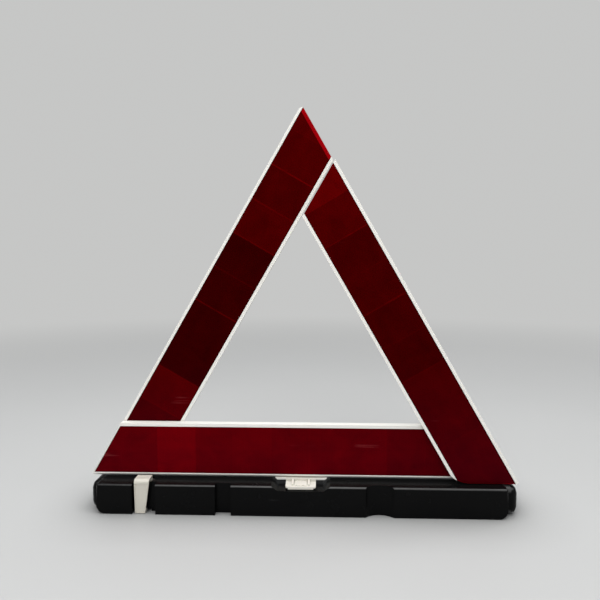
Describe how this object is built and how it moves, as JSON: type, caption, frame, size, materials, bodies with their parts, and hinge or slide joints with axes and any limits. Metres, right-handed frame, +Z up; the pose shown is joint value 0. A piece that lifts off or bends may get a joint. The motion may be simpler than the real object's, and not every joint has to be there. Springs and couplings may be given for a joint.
{
  "type": "warning triangle",
  "caption": "Folding roadside warning triangle: red reflector arms in white trays, riveted to fold, standing on a turning foot in a black storage case with a white clip.",
  "frame": {"origin": "on the floor, at the bottom centre of the bounding box, under the middle of the case; the triangle stands 10 mm nearer the viewer", "axes": "+Z up, X along the case and the base arm, -Y towards the viewer who sees the red lenses"},
  "size_m": [0.4473, 0.07, 0.4224],
  "materials": {
    "black_plastic": "semi-gloss moulded black plastic",
    "white_plastic": "warm white moulded plastic, satin",
    "red_reflector": "clear deep red lens, smooth outside, prisms inside",
    "silver_backing": "grey sealing plate",
    "steel": "zinc-plated",
    "nylon": "natural nylon"
  },
  "bodies": {
    "case": {"case_shell": "black_plastic", "clip_pin": "steel"},
    "clip": {"stow_clip": "white_plastic"},
    "foot": {"swivel_foot": "white_plastic", "foot_screw": "steel", "foot_washer": "steel"},
    "base_arm": {"base_arm_housing": "white_plastic", "base_arm_reflector": "red_reflector", "base_arm_backing": "silver_backing", "base_arm_key": "white_plastic", "left_hinge_rivet": "steel", "left_hinge_washer": "steel", "left_friction_washer": "nylon"},
    "left_arm": {"left_arm_housing": "white_plastic", "left_arm_reflector": "red_reflector", "left_arm_backing": "silver_backing"},
    "right_arm": {"right_arm_housing": "white_plastic", "right_arm_reflector": "red_reflector", "right_arm_backing": "silver_backing", "right_hinge_rivet": "steel", "right_hinge_washer": "steel", "right_friction_washer": "nylon"}
  },
  "joints": [
    {"name": "foot_turn", "type": "hinge", "parent": "case", "child": "foot", "pos_m": [0, -0.01, 0.0267], "axis": [0, 0, 1], "range_deg": [-90, 0]},
    {"name": "triangle_lift", "type": "slide", "parent": "foot", "child": "base_arm", "axis": [0, 0, 1], "range_m": [0, 0.1]},
    {"name": "left_arm_fold", "type": "hinge", "parent": "base_arm", "child": "left_arm", "pos_m": [-0.17564, -0.0008, 0.0615], "axis": [0, 1, 0], "range_deg": [0, 57]},
    {"name": "right_arm_fold", "type": "hinge", "parent": "base_arm", "child": "right_arm", "pos_m": [0.17564, -0.0192, 0.0615], "axis": [0, -1, 0], "range_deg": [0, 57]},
    {"name": "clip_open", "type": "hinge", "parent": "case", "child": "clip", "pos_m": [-0.1647, -0.0205, 0.0304], "axis": [-1, 0, 0], "range_deg": [0, 75]}
  ]
}
